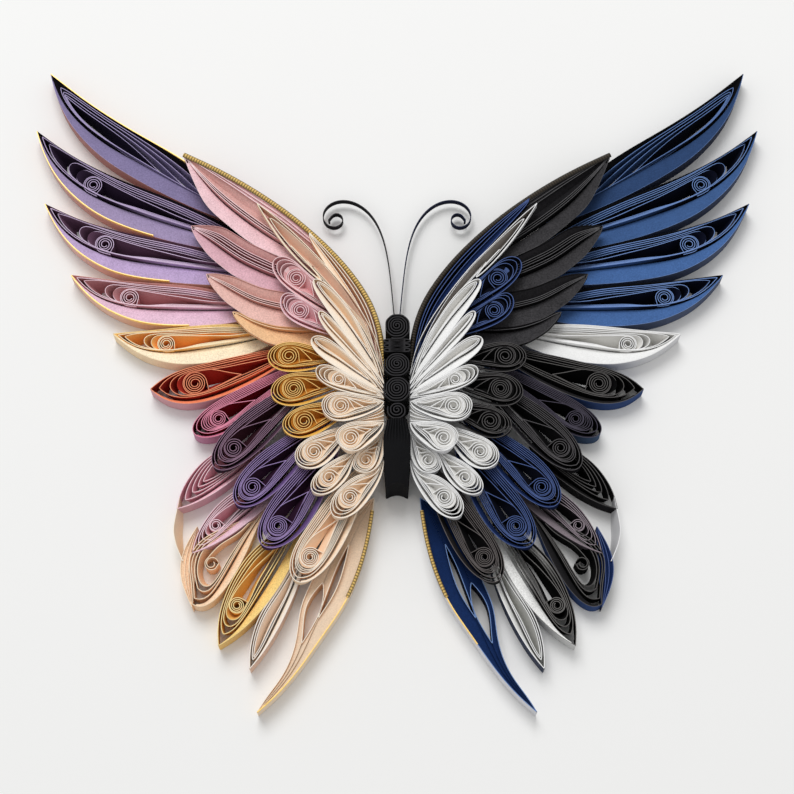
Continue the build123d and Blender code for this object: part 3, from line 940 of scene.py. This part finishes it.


# The colours of each paper: its cut edge, with a painted highlight; its walls, darkened as painted shade of
# the gaps;
# its broad face; its outer strip, partly painted shade; and where they differ its rim, in painted shade, and
# its grain
FINISHES = {
    "violet": ((188, 170, 206), (50, 36, 58), (160, 144, 180), (208, 168, 160), (22, 13, 22)),
    "violet_night": ((172, 160, 200), (28, 22, 42), (132, 122, 160), (184, 144, 140), (14, 9, 16)),
    "violet_rose": ((212, 190, 220), (106, 74, 98), (190, 166, 206), (224, 182, 174), (78, 50, 66)),
    "mauve": ((242, 210, 222), (200, 142, 146), (230, 192, 212), (230, 188, 168), (202, 140, 134)),
    "wine": ((236, 150, 176), (130, 14, 34), (204, 110, 140), (188, 134, 160)),
    "lilac_rose": ((244, 212, 218), (226, 174, 180), (240, 198, 208), (216, 172, 184)),
    "cream_honey": ((255, 238, 200), (250, 188, 108), (255, 238, 206), (248, 222, 184), (255, 220, 146)),
    "gold": ((255, 232, 168), (240, 190, 106), (250, 214, 134), (236, 198, 126)),
    "rose": ((240, 204, 210), (182, 124, 126), (220, 175, 186), (194, 146, 144), (203, 152, 149)),
    "pale_rose": ((248, 220, 222), (206, 152, 150), (240, 202, 208), (212, 164, 158), (216, 170, 164)),
    "coil_rose": ((244, 212, 214), (226, 174, 176), (242, 200, 204), (214, 170, 172)),
    "peach_rose": ((244, 210, 204), (190, 134, 122), (232, 188, 178), (208, 156, 140), (216, 166, 156)),
    "peach": ((253, 230, 200), (246, 208, 172), (250, 218, 184), (242, 208, 174), (232, 186, 144)),
    "deep_peach": ((250, 218, 180), (220, 172, 128), (240, 194, 148), (230, 188, 148), (226, 176, 128)),
    "cream": ((253, 242, 224), (248, 216, 184), (251, 232, 208), (244, 222, 194), None, 0.06),
    "tail_cream": ((253, 240, 222), (238, 202, 168), (236, 211, 184), (242, 220, 194), None, 0.06),
    "ochre": ((248, 206, 126), (188, 118, 38), (232, 178, 80), (218, 164, 76)),
    "ivory": ((254, 244, 230), (244, 220, 192), (252, 238, 220), (242, 222, 200), None, 0.04),
    "orange": ((252, 158, 118), (172, 46, 34), (246, 138, 98), (212, 162, 168), (186, 72, 56)),
    "plum_black": ((144, 114, 136), (46, 17, 27), (70, 48, 64), (46, 34, 46)),
    "purple": ((156, 134, 184), (42, 18, 40), (101, 77, 128), (60, 44, 82)),
    "dusty_rose": ((248, 212, 220), (240, 186, 198), (242, 194, 206), (218, 176, 186)),
    "pale_pink": ((248, 218, 228), (228, 176, 186), (236, 198, 212), (224, 184, 198)),
    "warm_white": ((253, 245, 236), (252, 234, 216), (251, 240, 226), (224, 196, 180), None, 0.04),
    "blue": ((118, 148, 204), (8, 13, 34), (68, 102, 156), (74, 84, 108), (8, 8, 12)),
    "blue_dusk": ((110, 140, 194), (7, 11, 29), (60, 90, 138), (66, 75, 98), (8, 8, 12)),
    "blue_night": ((96, 124, 176), (6, 9, 22), (44, 68, 108), (54, 61, 80), (8, 8, 11)),
    "white": ((247, 247, 247), (230, 229, 226), (241, 241, 240), (214, 214, 216), None, 0.04),
    "grey_white": ((246, 246, 246), (204, 204, 200), (232, 232, 230), (62, 68, 86), None, 0.04),
    "white_leaf": ((246, 246, 246), (138, 132, 126), (226, 225, 223), (206, 206, 208), None, 0.05),
    "cream_leaf": ((252, 240, 218), (226, 190, 168), (246, 226, 202), (236, 212, 180), None, 0.06),
    "charcoal": ((86, 85, 87), (9, 8, 9), (55, 54, 56), (30, 29, 31), (27, 26, 28), 0.3),
    "coal_drop": ((84, 82, 84), (6, 6, 7), (23, 22, 26), (22, 21, 25)),
    "navy": ((76, 95, 146), (5, 8, 22), (18, 36, 78), (20, 34, 72)),
    "navy_coil": ((80, 100, 150), (6, 9, 24), (22, 38, 78), (22, 36, 70)),
    "tail_navy": ((118, 148, 200), (12, 18, 44), (20, 43, 88), (222, 222, 226)),
    "black": ((86, 84, 84), (5, 5, 5), (22, 21, 22), (22, 21, 23)),
    "black_blue": ((94, 92, 91), (5, 5, 6), (30, 29, 31), (46, 68, 114), (34, 32, 34)),
    "black_white": ((112, 110, 108), (8, 8, 8), (240, 240, 238), (216, 216, 214), (54, 52, 54)),
    "slate": ((78, 74, 87), (7, 6, 10), (26, 24, 35), (56, 76, 104)),
    "slate_leaf": ((150, 138, 146), (34, 30, 34), (128, 118, 124), (104, 96, 102)),
    "body_black": ((52, 51, 53), (8, 8, 9), (19, 19, 21), (20, 20, 23)),
    "night_navy": ((36, 42, 66), (14, 18, 36), (20, 26, 50), (18, 22, 44)),
    "umber": ((100, 95, 94), (8, 7, 8), (31, 29, 30), (33, 31, 31)),
}
GILT_FINISHES = {"gilt": (252, 212, 124), "bronze": (68, 58, 45)}


MATERIALS = {name: paper_material(name + "_paper", *colours) for name, colours in FINISHES.items()}
MATERIALS.update({name: gilt_material(name + "_paper", colour) for name, colour in GILT_FINISHES.items()})

# Each petal: its name on a wing, its recipe, then the finish and record slot of the left and right one
PETALS = {
    "primary_feather_1": (FAN_FEATHER, ("violet_night", "violet"), ("blue_night", "blue")),
    "primary_feather_2": (EYE_FEATHER, ("violet", "violet"), ("blue_dusk", "blue")),
    "primary_feather_3": (EYE_FEATHER, ("violet_rose", "violet"), ("blue", "blue")),
    "primary_feather_4": (EYE_FEATHER, ("mauve", "mauve"), ("blue", "blue")),
    "primary_feather_5": (EYE_FEATHER, ("cream_honey", "honey"), ("white", "white")),
    "covert_1": (LONG_COVERT, ("pale_rose", "rose"), ("charcoal", "charcoal")),
    "covert_2": (COVERT, ("rose", "rose"), ("charcoal", "charcoal")),
    "covert_3": (PLAIN_COVERT, ("peach_rose", "peach"), ("charcoal", "charcoal")),
    "covert_4": (LOW_COVERT, ("deep_peach", "peach"), ("charcoal", "charcoal")),
    "leading_petal": (SLENDER_LEAF, ("cream_leaf", "cream"), ("white_leaf", "white")),
    "shoulder_coil_1": (SHOULDER_COIL, ("coil_rose", "rose"), ("navy_coil", "navy")),
    "shoulder_coil_2": (SHOULDER_COIL, ("lilac_rose", "mauve"), ("navy_coil", "navy")),
    "middle_coil_1": (COIL, ("ochre", "ochre"), ("black", "black")),
    "middle_coil_2": (COIL, ("ochre", "ochre"), ("black", "black")),
    "middle_coil_3": (COIL, ("ochre", "ochre"), ("black", "black")),
    "hind_feather_1": (WIDE_DROP, ("orange", "orange"), ("black_blue", "black")),
    "hind_feather_2": (DROP, ("wine", "mauve"), ("slate", "slate")),
    "hind_feather_3": (LONG_DROP, ("plum_black", "plum_black"), ("coal_drop", "charcoal")),
    "hind_feather_4": (LONG_DROP, ("purple", "purple"), ("navy", "navy")),
    "hind_feather_5": (LONG_DROP, ("purple", "purple"), ("navy", "navy")),
    "hind_feather_6": (NESTED, ("dusty_rose", "dusty_rose"), ("black", "navy")),
    "hind_feather_7": (BLADE, ("pale_pink", "pale_pink"), ("slate_leaf", "slate")),
    "hind_feather_8": (CURLED_DROP, ("peach", "peach"), ("black_blue", "black")),
    "hind_feather_9": (BLADE, ("gold", "honey"), ("black_white", "black")),
    "hind_feather_10": (LEAF_BLADE, ("warm_white", "white"), ("grey_white", "white")),
    "hind_feather_11": (LONG_DROP, ("cream", "cream"), ("umber", "umber")),
    "hind_feather_12": (TAIL, ("tail_cream", "cream"), ("tail_navy", "navy")),
}
INNER_RECIPES = [OPEN_LOOP] * 3 + [INNER_COIL] * 7

SIDES = {"left": -1, "right": 1}

# The finish and record slot of a wing's other papers
TRIM_PAPERS = {
    "left": {"crescent": "peach", "sweep": "cream", "bundle": "cream", "fan": "ivory"},
    "right": {"crescent": "navy", "sweep": "white", "bundle": "navy", "fan": "white"},
}
ANTENNA_PAPERS = {"left": ("body_black", "black"), "right": ("night_navy", "navy")}
LEADING_EDGE_GILT = {"left": "gilt", "right": "bronze"}


def dress(strips, name, node, finish, slot):
    """Joins strips into one piece, and gives it its paper and its place in the frame."""
    piece = join_pieces(strips, name)
    piece.data.materials.clear()
    piece.data.materials.append(MATERIALS[finish])
    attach(piece, "root")
    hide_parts(node)
    slot + "_paper"


def read_petal(node, side, *how):
    """The petal of a CAD node that has one plate."""
    return Petal(read_plates(node)[0], side, *how)


def without_edge(petal):
    """The eighth hind feather without its glued strip: its upper side is its lower side made fuller."""
    spine = blend(petal.lower[0], petal.lower[-1], np.linspace(0, 1, SIDE_SAMPLES)[:, None])
    return petal.with_sides(spine + (spine - petal.lower) * EDGED_FEATHER_FULLNESS, petal.lower)


def glued_crescent(petal, name):
    """The crescent of strips glued along the eighth hind feather, which leans out and shows its face."""
    along = np.linspace(0, 1, SIDE_SAMPLES // 2)
    chord = blend(CRESCENT_TOP, CRESCENT_END, along[:, None])
    way = CRESCENT_END - CRESCENT_TOP
    outward = np.array((-way[1], way[0]))
    outer = chord + CRESCENT_BULGE * np.sin(math.pi * along)[:, None] * outward
    strips = []
    for share in CRESCENT_SHARES:
        line = blend(outer, chord, share)
        top = petal.high - FACE_DROP * share
        strips.append(upright_strip(petal, line, top, name, OUTER_MARKS, COIL_MARKS))
    rows = []
    for share in FACE_SHARES:
        height = petal.high - FACE_DROP * (CRESCENT_FACE_SINK + share)
        rows.append(row_at(blend(outer, chord, share), petal.side, height))
    strips.append(face_strip(rows, name))
    return strips


def sweep_strip(start, petal, name):
    """The thin strip that sweeps out from the sixth hind feather's tip and back to the crescent."""
    line = soften(resample(np.vstack((start, SWEEP_POINTS)), SIDE_SAMPLES), SMOOTH_PASSES)
    along = np.linspace(0, 1, SIDE_SAMPLES)
    foot = line - np.outer(SWEEP_LEAN * np.sin(math.pi * along), (1, 0))
    return upright_strip(petal, np.column_stack((line, along, foot)), petal.high, name, OUTER_MARKS)


def petal_strips(petal, recipe, name):
    """All the strips of a petal, as its recipe says."""
    if recipe["reach"] < 1:
        petal = petal.blunted(recipe["reach"])
    return fan_petal(petal, recipe, name) if "faces" in recipe else rolled_petal(petal, recipe, name)


def leading_bundle(petal, name):
    """The long strips along the leading edge, from the body to the slender petal's tip."""
    progress = np.linspace(0, 1, SIDE_SAMPLES)
    reach = BUNDLE_REACHES[petal.side]
    outer = np.array([petal.side_point(petal.upper, reach * share) for share in progress])
    inward = rightward(outer)
    outer = outer + inward * GILT_WIDTH / 2
    across = inward * (BUNDLE_WIDTH * np.sin(math.pi * progress) ** BUNDLE_FULLNESS)[:, None]
    top = petal.high + BUNDLE_RISE * np.sin(math.pi / 2 * progress) ** BUNDLE_ARCH
    strips = [upright_strip(petal, outer + across * share, top, name) for share in BUNDLE_SHARES]
    rows = []
    for share in BUNDLE_FACE_SHARES:
        height = top - FACE_DROP * (1 - BUNDLE_FACE_SLOPE * share)
        rows.append(row_at(outer + across * share, petal.side, height))
    strips.append(face_strip(rows, name))
    return strips


def gap_strips(above, below, name):
    """The strips that fill the gap at the body between two inner petals."""
    sides = above.lower[:GAP_SAMPLES], below.upper[:GAP_SAMPLES]
    top = above.high - FACE_DROP
    strips = [upright_strip(above, blend(*sides, share), top, name) for share in GAP_SHARES]
    strips.append(face_strip([row_at(line, above.side, top - FACE_DROP) for line in sides], name))
    return strips


def tip_height(plate):
    """How far up the wing a petal's tip lies."""
    outline = plate[0]
    return outline[np.argmax(np.linalg.norm(outline - WING_HINGE, axis=1)), 1]


for wing, side in SIDES.items():
    for petal_name, (recipe, *papers) in PETALS.items():
        node = f"{wing}_{petal_name}"
        finish, slot = papers[0] if wing == "left" else papers[1]
        passes = COVERT_SMOOTH_PASSES if petal_name.startswith("covert") else SMOOTH_PASSES
        petal = read_petal(node, side, recipe["pointed"], recipe is LONG_COVERT, passes)
        if petal_name == EDGED_FEATHER:
            petal = without_edge(petal)
        if recipe is TAIL:
            petal = petal.narrowed(*TAIL_SIDES)
        if recipe is SLENDER_LEAF and wing == "right":
            petal = petal.narrowed(*RIGHT_LEADING_SIDES)
        dress(petal_strips(petal, recipe, node), node + "_rolled", node, finish, slot)

    trim = TRIM_PAPERS[wing]
    node = f"{wing}_{EDGED_FEATHER}"
    petal = read_petal(node, side)
    dress(glued_crescent(petal, node), node + "_crescent", node, trim["crescent"], trim["crescent"])
    nested = read_petal(f"{wing}_hind_feather_6", side)
    sweep = sweep_strip(nested.side_point(nested.upper, SWEEP_START), petal, node)
    dress([sweep], node + "_sweep", node, trim["sweep"], trim["sweep"])

    node = f"{wing}_covert_1"
    bundle = leading_bundle(read_petal(node, side), node)
    dress(bundle, node + "_bundle", node, trim["bundle"], trim["bundle"])

    node = f"{wing}_inner_petals"
    plates = sorted(read_plates(node), key=tip_height, reverse=True)
    petals = [Petal(plate, side) for plate in plates]
    strips = gap_strips(petals[GAP_ABOVE], petals[GAP_ABOVE + 1], node)
    for petal, recipe in zip(petals, INNER_RECIPES):
        strips += petal_strips(petal, recipe, node)
    dress(strips, node + "_rolled", node, trim["fan"], trim["fan"])


# Body and antennae

def body_strip(line, low, high, name):
    return paper_ribbon(name, upright_rows(line, 1, low, high), BODY_PAPER, COIL_MARKS)


def body_coil(plate, name):
    """A tight round coil of the body, rolled from its outline in to its middle."""
    outline, low, high = plate
    ring = resample(np.vstack((outline, outline[:1])), 2 * HALF_TURN + 1)[:-1]
    for _ in range(BODY_SMOOTH_PASSES):
        ring = evened(np.roll(ring, 1, axis=0), ring, np.roll(ring, -1, axis=0))
    centre = ring.mean(axis=0)
    half = np.linalg.norm(ring - centre, axis=1).min()
    turns = max(BODY_LEAST_TURNS, int(half / BODY_PITCH))
    shares = np.arange(turns * len(ring)) / (turns * len(ring))
    line = blend(np.tile(ring, (turns, 1)), centre, BODY_REACH * shares[:, None])
    return body_strip(line, low, high - BODY_CROWN * (1 - shares), name)


def bow_loops(plates, name):
    """The folded bow behind the head: flat loops stacked one over the other and drawn in at the middle."""
    outline = np.vstack([plate[0] for plate in plates])
    low, high = plates[0][1:]
    start, end = outline.min(axis=0), outline.max(axis=0)
    half_width = (end[0] - start[0]) / 2
    height = (end[1] - start[1]) / BOW_LOOPS
    angle = np.linspace(0, 2 * math.pi, 2 * HALF_TURN)
    swell = BOW_FULLNESS * height * blend(BOW_PINCH, 1, np.abs(np.cos(angle)))
    loop = np.column_stack((half_width * np.cos(angle), swell * np.sin(angle)))
    middles = [np.array((0, start[1] + height * (i + 0.5))) for i in range(BOW_LOOPS)]
    return [body_strip(middle + share * loop, low, high - BODY_CROWN, name)
            for middle in middles for share in BOW_SHARES]


def abdomen_width(along):
    """The share of its full width that the abdomen has at a place along it."""
    swell = fade(along, *ABDOMEN_SWELL_PLACES) - ABDOMEN_TAPER * fade(along, *ABDOMEN_TAPER_PLACES)
    return blend(ABDOMEN_WAIST, 1, swell)


def abdomen_fold(plate, name):
    """The folded strips of the abdomen, gathered at the waist and closed at the end."""
    outline, low, high = plate
    start, end = outline[:, 1].max(), outline[:, 1].min() + ABDOMEN_END_GAP
    along = np.append(np.linspace(0, 1, ABDOMEN_SAMPLES), 1.0)
    half_width = np.abs(outline[:, 0]).max() * np.array([abdomen_width(share) for share in along])
    gather = PLEAT_DEPTH * np.array([1 - fade(share, *PLEAT_PLACES) for share in along])
    fall = ABDOMEN_FALL * along ** 2
    foot = low + BODY_PAPER
    rows = []
    places = [-1.0, *np.linspace(-1, 1, ABDOMEN_ROWS), 1.0]
    for i, across in enumerate(places):
        is_foot = i in (0, len(places) - 1)
        pleat = 0.5 + 0.5 * math.cos(math.pi * ABDOMEN_PLEATS * across)
        sink = ABDOMEN_CROWN * across ** 2 + pleat * gather + fall
        height = np.full(len(along), foot) if is_foot else high - sink
        height[-1] = foot
        finish_y = end + ABDOMEN_NOTCH * (1 - across ** 2)
        rows.append(np.column_stack((half_width * across, blend(start, finish_y, along), height)))
    return paper_ribbon(name, rows, BODY_PAPER, FACE_MARKS["band"])


def antenna_line(plate):
    """The middle line of an antenna, from the head to the inner end of its curl."""
    outline = plate[0]
    count = len(outline)
    base = min(range(count), key=lambda i: outline[i][1] + outline[(i + 1) % count][1])
    outline = np.roll(outline, -(base + 1), axis=0)
    middle = 0.5 * (outline[:count // 2] + outline[::-1][:count // 2])
    return curled_further(soften(resample(middle, ANTENNA_SAMPLES), ANTENNA_SMOOTH_PASSES))


def curled_further(line):
    """The antenna's line with its inner end curled in further, ever more tightly."""
    first = line[-CURL_BACK] - line[-2 * CURL_BACK]
    last = line[-1] - line[-CURL_BACK]
    heading = math.atan2(last[1], last[0])
    bend = math.atan2(first[0] * last[1] - first[1] * last[0], float(np.dot(first, last)))
    points = [line[-1]]
    for step in range(1, CURL_STEPS + 1):
        heading += math.copysign(CURL_TURN / CURL_STEPS, bend)
        stride = CURL_RADIUS * (1 - CURL_CLOSING * step / CURL_STEPS) * CURL_TURN / CURL_STEPS
        points.append(points[-1] + stride * np.array((math.cos(heading), math.sin(heading))))
    return np.vstack((line, points[1:]))


head, *bow, oval, ball, waist = sorted(read_plates("body_coils"), key=lambda plate: -plate[0][:, 1].mean())
coils = [body_coil(plate, "body_coils") for plate in (head, oval, ball, waist)]
coils += bow_loops(bow, "body_coils")
dress(coils, "body_coils_rolled", "body_coils", "body_black", "black")
abdomen = abdomen_fold(read_plates("abdomen")[0], "abdomen")
dress([abdomen], "abdomen_folded", "abdomen", "body_black", "black")
for wing, (finish, slot) in ANTENNA_PAPERS.items():
    node = f"{wing}_antenna"
    plate = read_plates(node)[0]
    low, high = plate[1:]
    rows = upright_rows(antenna_line(plate), 1, blend(low, high, ANTENNA_FOOT), high)
    ribbon = paper_ribbon(node, rows, ANTENNA_PAPER, OUTER_MARKS)
    dress([ribbon], node + "_curl", node, finish, slot)


# Gilt edges

def beaded_edge(petal, line, width, name):
    """A beaded gilt strip along one side of a petal."""
    beads = int(np.linalg.norm(np.diff(line, axis=0), axis=1).sum() / BEAD_PITCH)
    fine = resample(line, beads * BEAD_STEPS + 1)
    outward = rightward(fine)
    swell = 0.5 + 0.5 * np.cos(2 * math.pi * np.arange(len(fine)) / BEAD_STEPS)
    rows = []
    marks = []
    for across in BEAD_ROWS:
        dome = 1 - (2 * across) ** 2
        height = petal.high + GILT_RISE + BEAD_HEIGHT * dome * swell - width * across ** 2
        rows.append(row_at(fine + outward * (width * across), petal.side, height))
        # The first mark is high where the strip lies low, between the beads and at its sides: the gilt is
        # painted darker there as shade.
        marks.append(np.column_stack((1 - swell * dome, np.zeros((len(fine), 3)))))
    return paper_ribbon(name, rows, GILT_PAPER, np.concatenate(marks))


def gilt_line(petal, line, name):
    """A thin gilt edge along one side of a petal."""
    rows = upright_rows(line, petal.side, petal.high - GILT_LINE_HEIGHT, petal.high + GILT_LINE_RISE)
    return paper_ribbon(name, rows, GILT_LINE_PAPER, COIL_MARKS)


for wing, side in SIDES.items():
    node = f"{wing}_covert_1"
    name = f"{wing}_leading_edge"
    petal = read_petal(node, side)
    edge = beaded_edge(petal, petal.upper[LEADING_BEADS], GILT_WIDTH, name)
    dress([edge], name, node, LEADING_EDGE_GILT[wing], "gilt")
    node = f"{wing}_hind_feather_12"
    name = f"{wing}_tail_edge"
    petal = read_petal(node, side, TAIL["pointed"]).narrowed(*TAIL_SIDES)
    edges = [beaded_edge(petal, petal.lower[TAIL_BEADS], TAIL_GILT_WIDTH, name),
             gilt_line(petal, petal.lower[TAIL_LINES[wing]], name)]
    dress(edges, name, node, "gilt", "gilt")

for number in GILT_FEATHERS:
    node = f"left_primary_feather_{number}"
    petal = read_petal(node, SIDES["left"])
    line = petal.upper[FIRST_FEATHER_LINE] if number == 1 else petal.lower[FEATHER_LINE]
    dress([gilt_line(petal, line, node)], node + "_gilt_edge", node, "gilt", "gilt")


# The studio

def add_floor():
    bpy.ops.object.select_all(action="DESELECT")
    bpy.ops.mesh.primitive_plane_add(size=FLOOR_SIZE)
    floor = bpy.context.object
    floor.name = "floor"
    paper = PaperShader("floor_card")
    paper.surface.inputs["Base Color"].default_value = srgb(*FLOOR_COLOUR)
    paper.surface.inputs["Roughness"].default_value = FLOOR_ROUGHNESS
    paper.surface.inputs["Specular IOR Level"].default_value = 0.0
    floor.data.materials.append(paper.material)


def add_lamp(name, place, size, power):
    lamp = bpy.data.lights.new(name, "AREA")
    lamp.size = size
    lamp.energy = power
    holder = bpy.data.objects.new(name, lamp)
    bpy.context.scene.collection.objects.link(holder)
    holder.location = place
    holder.rotation_mode = "QUATERNION"
    holder.rotation_quaternion = (CAMERA_TARGET - holder.location).to_track_quat("-Z", "Y")


def add_camera():
    lens = bpy.data.cameras.new("camera")
    lens.sensor_width = SENSOR_WIDTH
    lens.lens = SENSOR_WIDTH / 2 / math.tan(FIELD_OF_VIEW / 2)
    camera = bpy.data.objects.new("camera", lens)
    bpy.context.scene.collection.objects.link(camera)
    back = Vector((0, -math.cos(CAMERA_ELEVATION), math.sin(CAMERA_ELEVATION)))
    camera.location = CAMERA_TARGET + back * CAMERA_DISTANCE
    camera.rotation_mode = "QUATERNION"
    camera.rotation_quaternion = (-back).to_track_quat("-Z", "Y")
    bpy.context.scene.camera = camera


add_floor()
add_lamp("window_light", LAMP_PLACE, LAMP_SIZE, LAMP_POWER)
add_camera()
world = bpy.data.worlds.new("studio")
world.use_nodes = True
sky = world.node_tree.nodes["Background"]
sky.inputs["Color"].default_value = SKY_COLOUR
sky.inputs["Strength"].default_value = SKY_STRENGTH
bpy.context.scene.world = world
bpy.context.scene.view_settings.view_transform = "Standard"
